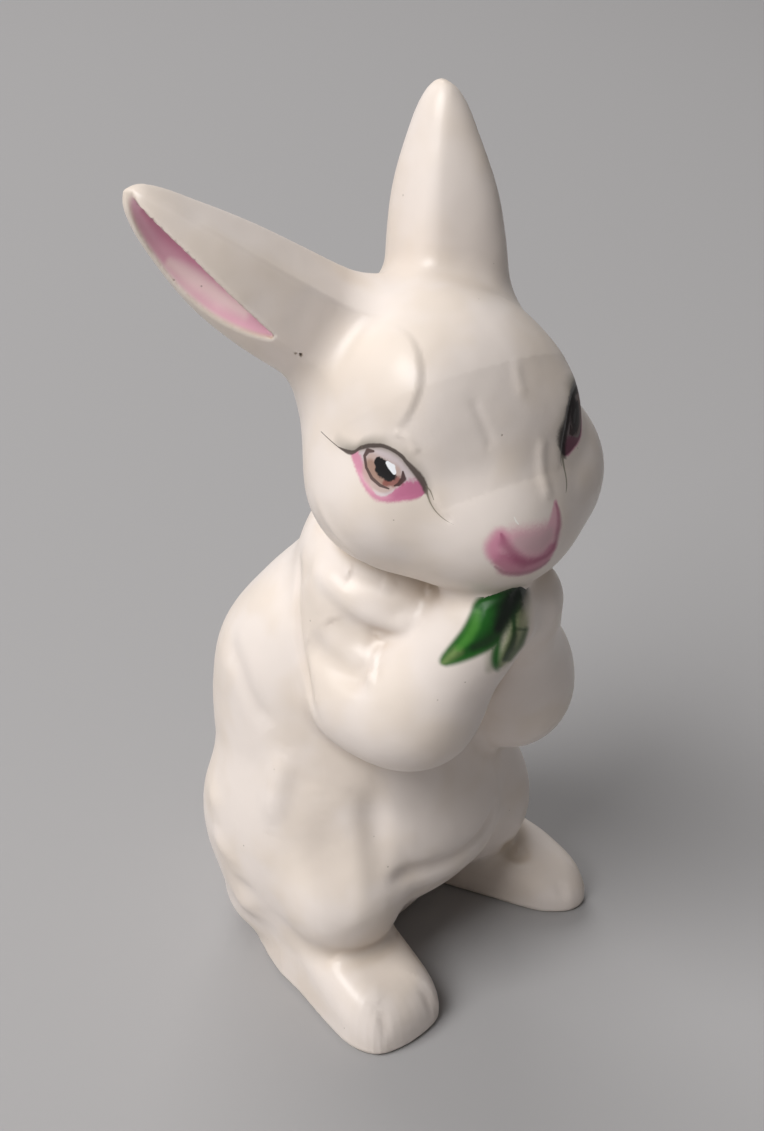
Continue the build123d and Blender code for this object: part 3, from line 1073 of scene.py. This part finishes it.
def pattern(finish, name):
    """A pattern that the mesh carries."""
    return Number(finish, finish.node("ShaderNodeAttribute", {"attribute_name": name}).outputs["Fac"])


class Glaze(Finish):
    """Clear glaze over ivory earthenware, with paint under it and a bare, unglazed sole."""

    def __init__(self, name, gloss=usual_gloss, shine=usual_shine):
        super().__init__(name, Coat_Roughness=0.3, Specular_IOR_Level=shine)
        self.gloss = gloss
        # Where this is 1, no gloss lies over the paint
        self.dark = 0
        pooling = pattern(self, "pooling")
        self.colour = self.mix(ivory, warm_ivory, self.noise(14).within(0.4, 0.65))
        # Darker, warmer ivory in the hollows: partly glaze that has pooled there, partly painted shade
        self.paint(pooled_and_shaded_ivory, pooling.within(0.1, 0.9))

    def paint(self, colour, cover):
        """Lays a colour over what is there."""
        self.colour = self.mix(self.colour, colour, cover)

    def fired(self):
        """The finished material: specks, waves in the glaze, and the bare sole."""
        inputs = {"Vector": self.place, "Scale": 1 / speck_spacing}
        specks = self.node("ShaderNodeTexVoronoi", {}, inputs)
        chance = self.node("ShaderNodeSeparateColor", {}, {0: specks.outputs["Color"]}).outputs[0]
        radius = Number(self, chance) * 0.13 + 0.05
        speck = (Number(self, specks.outputs["Distance"]) * speck_spacing / radius).within(1.4, 0.6)
        self.paint(speck_brown, speck * 0.55)
        bare = self.share_along((0, 0, 1)).within(0.5, 0.2)
        self.paint(bisque, bare)
        self.feed(self.shader.inputs["Base Color"], self.colour)
        self.feed(self.shader.inputs["Roughness"], bare * 0.4 + self.noise(9) * 0.1 + 0.38)
        self.feed(self.shader.inputs["Coat Weight"], (1 - bare) * (1 - self.dark) * self.gloss)
        waves = self.noise(7, detail=1) + self.noise(1.6) * 0.06 - speck * 0.15
        waves = waves + self.noise(0.35) * bare * 0.3
        inputs = {"Height": waves, "Distance": wave_height, "Strength": 1.0}
        bump = self.node("ShaderNodeBump", {}, inputs)
        self.feed(self.shader.inputs["Normal"], bump.outputs[0])
        return self.material


class Drawing:
    """Brushwork seen square on, in millimetres to the right of its middle and up from it."""

    def __init__(self, glaze, middle, right, up, reach):
        right, up = Vector(right).normalized(), Vector(up)
        up = (up - up.dot(right) * right).normalized()
        self.glaze = glaze
        self.aside, self.upward = glaze.share_along(right, middle), glaze.share_along(up, middle)
        self.spot = glaze.node("ShaderNodeCombineXYZ", {}, {"X": self.aside, "Y": self.upward}).outputs[0]
        self.near = abs(glaze.share_along(right.cross(up), middle)).within(reach + 1, reach)
        self.grain = glaze.noise(0.45, detail=1) - 0.5

    def brush(self, colour, knots, strength=1.0, softness=0.3, grain=0.0):
        """Paints one brush stroke. Each of its knots is a place and the stroke's half width there."""
        glaze, cover = self.glaze, None
        for (x, y, wide), (next_x, next_y, next_wide) in zip(knots, knots[1:]):
            step = Vector((next_x - x, next_y - y, 0))
            offset = glaze.vector("SUBTRACT", {0: self.spot, 1: (x, y, 0)})
            inputs = {0: offset, 1: tuple(step / step.length_squared)}
            share = glaze.vector("DOT_PRODUCT", inputs, "Value")
            share = Number(glaze, share).maths("ADD", 0.0, clamp=True)
            nearest = glaze.vector("SCALE", {0: tuple(step), "Scale": share})
            apart = Number(glaze, glaze.vector("DISTANCE", {0: offset, 1: nearest}, "Value"))
            apart = apart / (share * (next_wide - wide) + wide)
            cover = apart if cover is None else cover.least(apart)
        if grain:
            cover = cover + self.grain * grain
        glaze.paint(colour, cover.within(1 + softness, 1 - softness) * self.near * strength)


# An eye's brushwork, with its inner corner to the right. First the height of its lid line, which
# runs on into the tear line, and of its lower edge, from its outer corner inwards.
lid_height = [
    (-8.9, -0.9), (-7.7, -0.7), (-6.3, -0.35), (-4.8, 1.4), (-2.7, 3), (-0.6, 3.8), (1.4, 3.7),
    (3.2, 2.85), (5, 1.9), (6.4, 0.9), (7.3, -0.1), (8, -1), (8.9, -1.9), (10.3, -2.8), (11.8, -3.3),
    (12.6, -3.4),
]
lid_weight = [
    (-8.9, 0.04), (-7.7, 0.14), (-6.3, 0.24), (-4.8, 0.26), (-2.7, 0.25), (0, 0.2), (2.3, 0.23),
    (4.1, 0.31), (6.2, 0.42), (7, 0.4), (7.7, 0.13), (9, 0.06), (11.8, 0.03), (12.6, 0.01),
]
lower_height = [
    (-6.6, 0.4), (-6.1, -0.5), (-5, -1.4), (-3.8, -2.3), (-2.3, -3.3), (-0.4, -4.2), (1, -4.5),
    (2.6, -4.1), (4.3, -3.2), (6, -2.2), (6.9, -1.4), (7.3, -0.5), (7.7, 0.8),
]
shade_weight = [(-10.5, 0), (-8, 0.7), (-5.5, 1), (-2, 0.75), (1, 0.35), (3.5, 0.6), (6, 0.5), (9, 0)]
pink_height = [
    (-6.6, 1.4), (-4.5, 2), (-2, 1.7), (0, 0.8), (1.6, 0.7), (2.6, 1.3), (3.4, 2.8), (4.6, 3.5),
    (7.7, 3.6),
]
eye_iris = [(-0.3, -0.2, 3.2), (0.2, -0.5, 3.0)]
eye_iris_low = [(-2.2, -0.2, 0.9), (-1.0, -1.2, 0.9), (1.2, -1.5, 0.7)]
eye_iris_red = [(1.2, -1.7, 0.5), (2.8, -0.6, 0.8)]
eye_ring = [
    (-2.6, 2.0, 0.2), (-3.5, 1.6, 0.42), (-3.75, 0.5, 0.26), (-2.7, -1.0, 0.24), (-1.1, -2.0, 0.27),
    (0.6, -2.35, 0.25), (2.1, -2.2, 0.12),
]
eye_ring_inner = [(3.0, 1.2, 0.15), (3.5, 0.2, 0.45), (3.2, -0.9, 0.3), (2.7, -1.4, 0.12)]
eye_pupil = [(-1.0, 0.8, 0.9), (0.1, 0.25, 1.5), (1.2, -0.2, 1.1)]
eye_painted_glint = [(0.3, 1.4, 0.35), (1.1, 1.1, 0.6), (1.8, 0.5, 0.35)]
eye_shade_dark = [(-0.2, 2.4, 1.2), (0.8, 1, 2.1), (1.4, -0.6, 1.8)]
tear_strand = [(7.1, 0.5, 0.13), (7.9, 0, 0.11), (8.9, -1.1, 0.05)]

# The middles of the eyes and the nose, and the ways to the right and up of their drawings, in the
# head's own frame
right_eye_place = (-18.65, 14.56, 1.08)
right_eye_axes = ((0.524, 0.8, -0.293), (0.365, 0.1, 0.926))
left_eye_place = (15.18, 18.24, 4.37)
left_eye_axes = ((-0.436, 0.761, -0.48), (-0.466, 0.264, 0.845))
nose_place = (-1.07, 28.87, -10.83)
nose_axes = ((0.997, 0.077, -0.006), (0.001, 0.071, 0.997))
face_drawing_reach = 6


def face_drawing(glaze, middle, axes):
    """A drawing on the head, for an eye or the nose."""
    right, up = (np.array(axis) @ head_axes for axis in axes)
    return Drawing(glaze, from_head([middle])[0], right, up, face_drawing_reach)


def paint_eye(glaze, middle, axes, weight, shade, shade_darkening):
    """A pink-rimmed brown eye under a dark lid line, with a painted white glint that stands in for the
    window's reflection.

    The weight and the shade are factors on the lid line's width and on the grey shading painted round the
    eye. The shade_darkening, 0 to 1, is painted shade for an eye that lies in shade: how far the eye and
    its iris are painted over dark, how much darker the lid line is and how far the shading reaches. It
    also takes the gloss off the painted-over eye and leaves out the glint.
    """
    drawing = face_drawing(glaze, middle, axes)
    above = drawing.upward - drawing.aside.along(lid_height)
    over_edge = drawing.upward - drawing.aside.along(lower_height)
    # Grey shading painted above the lid; wider and darker where the eye is given painted shade
    shading = above.within(2.8 + 1.6 * shade_darkening, 0.2) * drawing.aside.along(shade_weight) * drawing.near
    glaze.paint(linear(120, 114, 102), shading * above.within(-0.4, 0.2) * 0.5 * shade)
    inside = above.within(0.05, -0.15) * over_edge.within(-0.2, 0.4) * drawing.near
    glaze.paint(linear(200, 187, 188), inside)
    glaze.paint(linear(160, 150, 138), inside * above.within(-1.3, -0.2) * 0.7)
    band = (over_edge / drawing.aside.along(pink_height) + drawing.grain * 0.5).within(1.25, 0.75)
    rim = (over_edge + drawing.grain * 0.5).within(-0.6, 0.3) * above.within(0.05, -0.15) * drawing.near
    pink = glaze.mix(linear(204, 134, 158), linear(184, 98, 134), drawing.aside.within(1.5, 4))
    glaze.paint(pink, band * rim * 0.92)
    drawing.brush(linear(186, 160, 150), eye_iris, drawing.upward.within(2.4, 1.2) * 0.8, 0.1)
    drawing.brush(linear(150, 116, 98), eye_iris_low, 0.8, 0.5)
    drawing.brush(linear(128, 62, 54), eye_iris_red, 0.8, 0.5, 0.9)
    drawing.brush(linear(78, 56, 52), eye_ring, 0.95, 0.35)
    drawing.brush(linear(66, 42, 40), eye_ring_inner, 0.95, 0.35)
    drawing.brush(linear(12, 8, 10), eye_pupil, 1, 0.15, 0.5)
    # Painted shade: on an eye that lies in shade, the eye and its iris are painted over dark
    glaze.paint(linear(46, 34, 34), inside * shade_darkening * 0.75)
    drawing.brush(linear(20, 12, 12), eye_shade_dark, shade_darkening, 0.4, 0.3)
    # Painted white glint, standing in for the window's reflection in the eye; left out on an eye painted
    # dark
    drawing.brush(linear(238, 240, 243), eye_painted_glint, 1 - shade_darkening, 0.2, 0.3)
    # The lid line, drawn darker on an eye that is given painted shade
    line = abs(above) / (drawing.aside.along(lid_weight) * weight)
    lid_colour = linear(78 - 48 * shade_darkening, 67 - 42 * shade_darkening, 62 - 38 * shade_darkening)
    line_colour = glaze.mix(lid_colour, linear(146, 138, 122), drawing.aside.within(6.8, 8.2))
    glaze.paint(line_colour, (line + drawing.grain * 0.3).within(1.4, 0.6) * drawing.near * 0.95)
    drawing.brush(linear(118, 112, 96), tear_strand, 0.8, 0.5)
    glaze.dark = inside * shade_darkening


# The nose's brushwork
nose_wash = [
    (-4.6, 0.2, 1.6), (-3.4, 1.2, 2.1), (-1.5, 0.4, 2.9), (1.5, -0.2, 3.2), (4, -0.2, 3), (5.6, 1.2, 1.9),
    (6.4, 3.2, 1.1), (6.8, 5, 0.5),
]
nose_lower_wash = [
    (-3.8, -1.8, 1.3), (-1.8, -3.2, 2), (0.4, -4, 1.9), (2.4, -4.2, 1.8), (4.4, -3.8, 1.7),
    (5.7, -2.2, 1.2),
]
nose_left = [(-4.9, -1, 0.9), (-4.7, 1, 1.2), (-3.9, 2.4, 1)]
nose_dark = [
    (-3.7, 2.6, 0.2), (-3.2, 1.1, 0.8), (-2.2, -0.4, 0.8), (-1, -2, 0.9), (0.6, -3.3, 0.8),
    (2.5, -3.4, 0.55), (3.6, -3.3, 0.45), (4.9, -3.2, 0.45), (6, -2.4, 0.45), (6.5, -1.2, 0.5),
    (6.8, 0.3, 0.5), (7.2, 1.5, 0.55), (7.3, 2.6, 0.5), (7.2, 3.9, 0.35), (6.9, 4.9, 0.2),
]
nose_rim = [
    (-4.4, -3.2, 0.2), (-2.9, -4.6, 0.35), (-1.4, -5.2, 0.5), (0.3, -5.6, 0.5), (2.2, -5.7, 0.45),
    (4.2, -5.4, 0.35), (5.6, -4.6, 0.25),
]
nose_pale = [(-0.7, 0.8, 1.2), (1.2, 0.4, 1.8), (3.2, 0.2, 1.8), (4.6, 0.8, 1.2)]
nose_nick = [(-1.4, 5, 0.07), (-1.2, 4.4, 0.12), (-0.85, 3.9, 0.09)]


def paint_right_eye(glaze):
    """The eye on the rabbit's right."""
    paint_eye(glaze, right_eye_place, right_eye_axes, weight=1.7, shade=1.4, shade_darkening=0)


def paint_left_eye(glaze):
    """The eye on the rabbit's left, whose line and shading are heavier and whose iris is painted over
    dark: painted shade for an eye that lies in shade and is seen askew.
    """
    paint_eye(glaze, left_eye_place, left_eye_axes, weight=4.4, shade=2.1, shade_darkening=0.97)


def paint_nose(glaze):
    """The nose, and what has run into the glaze below it."""
    drawing = face_drawing(glaze, nose_place, nose_axes)
    drawing.brush(linear(210, 154, 170), nose_wash, 0.85, 0.5, 0.3)
    drawing.brush(linear(180, 100, 130), nose_lower_wash, 0.85, 0.5, 0.3)
    drawing.brush(linear(208, 134, 160), nose_left, 0.75, 0.9)
    drawing.brush(linear(198, 166, 170), nose_pale, 0.75, 0.7, 0.9)
    drawing.brush(linear(152, 70, 104), nose_dark, 0.66, 0.95, 0.3)
    drawing.brush(linear(140, 72, 100), nose_rim, 0.5, 0.9)
    drawing.brush(linear(240, 236, 230), nose_nick, 0.9, 0.4)
    leaf_halo(glaze)


def leaf_halo(glaze):
    """Green that has run from the leaf into the glaze around it."""
    glaze.paint(linear(136, 142, 112), pattern(glaze, "leaf").within(-1.1, 0.3) * 0.42)


# An ear's brushwork, from its root on the left to its tip, with its cup's steep side above
cup_deep = [(-10, -0.6, 0.5), (-6, -1.6, 0.9), (0, -2.2, 1.1), (6, -2, 1.1), (11, -0.8, 0.5)]
cup_painted_highlight = [(-10, -2.2, 0.7), (-6, -3.6, 1), (-1, -4.5, 1.1), (3, -4.8, 0.6)]
cup_end = [(-13.5, 0, 0.4), (-11.6, 0, 0.8)]
cup_drawing_reach = 20


def paint_ear(glaze, ear):
    """Pink in an ear's cup, deepest along its middle, with its lower slope painted pale as a painted
    highlight.
    """
    root, axis, across, facing, length = ear_frame(ear)
    angle = math.radians(ear["cup_angle"])
    up = across * math.cos(angle) - facing * math.sin(angle)
    drawing = Drawing(glaze, root + axis * length * ear["cup_place"], axis, up, cup_drawing_reach)
    inside = pattern(glaze, "cup").within(0.15, 1.1)
    glaze.paint(linear(220, 172, 186), inside)
    drawing.brush(linear(204, 132, 158), cup_deep, inside * 0.8, 0.95, 0.2)
    drawing.brush(linear(196, 118, 146), cup_end, inside * 0.75, 0.8)
    # Painted highlight: the cup's lower slope painted pale
    drawing.brush(linear(236, 214, 210), cup_painted_highlight, inside * 0.85, 0.95, 0.2)


def paint_right_ear(glaze):
    """The ear that lies out to the side."""
    paint_ear(glaze, right_ear)


def paint_left_ear(glaze):
    """The ear that stands up."""
    paint_ear(glaze, left_ear)


# The leaf's brushwork
leaf_run = [(0.2, -3.2, 0.9), (-0.3, -5, 1), (-0.6, -7, 0.7)]
leaf_green = [
    (-8, -5.6, 0.6), (-6.4, -4.1, 1.3), (-4.4, -2.4, 2), (-2.4, -0.4, 2.6), (-0.8, 2, 2.9),
    (1.2, 4.3, 2.5), (3.6, 6.2, 1.6),
]
leaf_tip = [(-8.4, -6, 0.4), (-7.1, -4.8, 0.7), (-6, -3.8, 0.8)]
leaf_bright = [(-5.8, -3.2, 0.6), (-4.4, -1.4, 0.8), (-3.4, 0.6, 0.8), (-3, 2.8, 0.6)]
leaf_dark = [(4.5, 6.6, 1.6), (3.3, 5.2, 2), (2, 3.6, 1.9), (1.2, 1.8, 1.3), (0.5, 0.3, 0.8)]
leaf_deep = [(2.4, 3.6, 2), (1.2, 1.2, 2), (0, -0.6, 1.7), (-1.6, -2, 1.3), (-3.4, -3, 0.7)]
leaf_other = [(3.5, 3.2, 1.2), (4, 0.6, 1.6), (3.4, -2.2, 1.7), (2, -4.8, 1.2), (1.2, -6.2, 0.7)]
leaf_pale = [(4.8, 2.6, 0.7), (4.8, 1, 0.6)]
leaf_vein = [
    (2.9, 4.4, 1), (3, 2.4, 0.4), (3.2, 0.5, 0.35), (3.2, -1.4, 0.6), (2.7, -3.3, 0.8), (2, -5.2, 0.6),
]
leaf_edge = [(5.4, -0.3, 0.5), (4.6, -3, 0.7), (2.9, -5.4, 0.6)]
leaf_side_veins = ([(3.5, 3, 0.35), (4.5, 4, 0.3)], [(3.4, 0.1, 0.35), (5.2, -0.3, 0.18)])
leaf_drawing_reach = 12


def paint_leaf(glaze):
    """A bright green lobe that darkens to its stalk, and a paler, veined one beside it.

    The brush runs a little over the leaf's edge, onto the paw.
    """
    leaf_halo(glaze)
    drawing = Drawing(glaze, leaf_middle, leaf_right, leaf_up, leaf_drawing_reach)
    drawing.brush(linear(146, 146, 120), leaf_run, 0.5, 0.95)
    cover = pattern(glaze, "leaf").within(-1.3, -0.1)
    drawing.brush(linear(118, 130, 88), leaf_other, cover * 0.85, 0.5, 0.2)
    glaze.paint(linear(30, 92, 24), cover * drawing.aside.within(1.8, 0.4) * drawing.near)
    drawing.brush(linear(20, 84, 18), leaf_green, cover * 0.97, 0.45, 0.2)
    drawing.brush(linear(124, 146, 88), leaf_tip, cover * 0.7, 0.95)
    drawing.brush(linear(62, 122, 40), leaf_bright, cover * 0.8, 0.95)
    drawing.brush(linear(168, 164, 134), leaf_pale, cover * 0.55, 0.8)
    drawing.brush(linear(50, 78, 32), leaf_edge, cover * 0.75, 0.8, 0.3)
    drawing.brush(linear(14, 46, 10), leaf_vein, cover * 0.9, 0.8, 0.3)
    for vein in leaf_side_veins:
        drawing.brush(linear(20, 50, 14), vein, cover * 0.6, 0.8)
    drawing.brush(linear(4, 44, 6), leaf_deep, cover * 0.85, 0.9, 0.2)
    drawing.brush(linear(0, 12, 1), leaf_dark, cover * 0.97, 0.8, 0.2)


# What is painted on each piece. Each patch of the head is painted by itself, out to its reach from
# its middle.
paints = {
    "right_ear": paint_right_ear,
    "left_ear": paint_left_ear,
    "right_foreleg": paint_leaf,
    "leaf_sprig": paint_leaf,
}
eye_reach = 14.5
nose_reach = 12
head_patches = {
    "right_eye": (right_eye_place, eye_reach, paint_right_eye),
    "left_eye": (left_eye_place, eye_reach, paint_left_eye),
    "nose": (nose_place, nose_reach, paint_nose),
}


# The pieces. Each takes the place of the part's own.

for piece_name, mesh in sculpted_pieces().items():
    piece = bpy.data.objects.new("glazed_" + piece_name, mesh)
    bpy.context.scene.collection.objects.link(piece)
    gloss = leaf_gloss if piece_name == "leaf_sprig" else usual_gloss
    glaze = Glaze("glaze_" + piece_name, gloss=gloss)
    if piece_name in paints:
        paints[piece_name](glaze)
    mesh.materials.append(glaze.fired())
    if piece_name == "head_casting":
        middles = np.empty(len(mesh.polygons) * 3)
        mesh.polygons.foreach_get("center", middles)
        middles = middles.reshape(-1, 3) * 1000
        finish_numbers = np.zeros(len(middles), np.int32)
        for number, (patch_name, (place, reach, paint)) in enumerate(head_patches.items(), 1):
            shine = left_eye_shine if patch_name == "left_eye" else usual_shine
            patch_glaze = Glaze("glaze_" + patch_name, shine=shine)
            paint(patch_glaze)
            mesh.materials.append(patch_glaze.fired())
            finish_numbers[np.linalg.norm(middles - from_head([place]), axis=1) < reach] = number
        mesh.polygons.foreach_set("material_index", finish_numbers)
    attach(piece, "root")
    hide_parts(piece_name)


# Studio: a pale floor, a large soft window light to the rabbit's right, and the photo's camera

camera_target = Vector((0, 0, 0.085))
camera_distance = 0.280
camera_turn, camera_rise = -46, 30
sensor_height = 36

# The lens's length as a share of the sensor's height
lens_share = 1500 / 1131


def direction(turn, rise):
    """The way from the rabbit to a place at that turn from its front and that rise, in degrees."""
    turn, rise = math.radians(turn), math.radians(rise)
    return Vector((math.sin(turn) * math.cos(rise), -math.cos(turn) * math.cos(rise), math.sin(rise)))


def aimed(thing, place, target):
    """Puts a lamp or the camera at a place, facing the target."""
    thing.location = place
    thing.rotation_euler = (target - place).to_track_quat("-Z", "Y").to_euler()
    bpy.context.scene.collection.objects.link(thing)


camera_data = bpy.data.cameras.new("camera")
camera_data.sensor_fit = "VERTICAL"
camera_data.sensor_height = sensor_height
camera_data.lens = sensor_height * lens_share
camera_data.clip_start = 0.01
camera = bpy.data.objects.new("camera", camera_data)
aimed(camera, camera_target + camera_distance * direction(camera_turn, camera_rise), camera_target)
bpy.context.scene.camera = camera

# Each lamp: its name, turn and rise in degrees, distance, width and height in metres, and power in
# watts. Only the window shows in the glaze.
lamps = (
    ("window", -98, 50, 2.4, 1.7, 1.2, 60),
    ("fill", -100, 8, 2.4, 1.4, 1.4, 7),
    ("back", 150, 45, 2.4, 1.6, 1.2, 26),
)
for lamp_name, turn, rise, distance, width, height, power in lamps:
    lamp_data = bpy.data.lights.new(lamp_name, "AREA")
    lamp_data.shape = "RECTANGLE"
    lamp_data.size, lamp_data.size_y, lamp_data.energy = width, height, power
    lamp = bpy.data.objects.new(lamp_name, lamp_data)
    lamp.visible_glossy = lamp_name == "window"
    aimed(lamp, camera_target + distance * direction(turn, rise), camera_target)

world = bpy.data.worlds.new("studio")
world.use_nodes = True
background = world.node_tree.nodes["Background"]
background.inputs["Color"].default_value = linear(178, 177, 177) + (1,)

# The room's light, and what is added where it is seen in the glaze, so that it is as bright there as
# the lit floor and no edge between the two shows
room_strength, added_in_glaze = 0.29, 0.55
light_path = world.node_tree.nodes.new("ShaderNodeLightPath")
room_light = world.node_tree.nodes.new("ShaderNodeMath")
room_light.operation = "MULTIPLY_ADD"
room_light.inputs[1].default_value = added_in_glaze
room_light.inputs[2].default_value = room_strength
world.node_tree.links.new(light_path.outputs["Is Glossy Ray"], room_light.inputs[0])
world.node_tree.links.new(room_light.outputs[0], background.inputs["Strength"])
bpy.context.scene.world = world

floor_reach = 3.0
floor_sides = 64
floor_grey = linear(160, 158, 158)
floor_mesh = bpy.data.meshes.new("floor")
angles = np.linspace(0, 2 * math.pi, floor_sides + 1)[:-1]
rim = [(floor_reach * math.cos(angle), floor_reach * math.sin(angle), 0) for angle in angles]
floor_mesh.from_pydata(rim, [], [tuple(range(floor_sides))])
floor = bpy.data.objects.new("floor", floor_mesh)
bpy.context.scene.collection.objects.link(floor)
floor_finish = Finish("pale_floor", Roughness=0.75)
floor_finish.feed(floor_finish.shader.inputs["Base Color"], floor_grey)
floor_mesh.materials.append(floor_finish.material)

bpy.context.scene.view_settings.view_transform = "Standard"
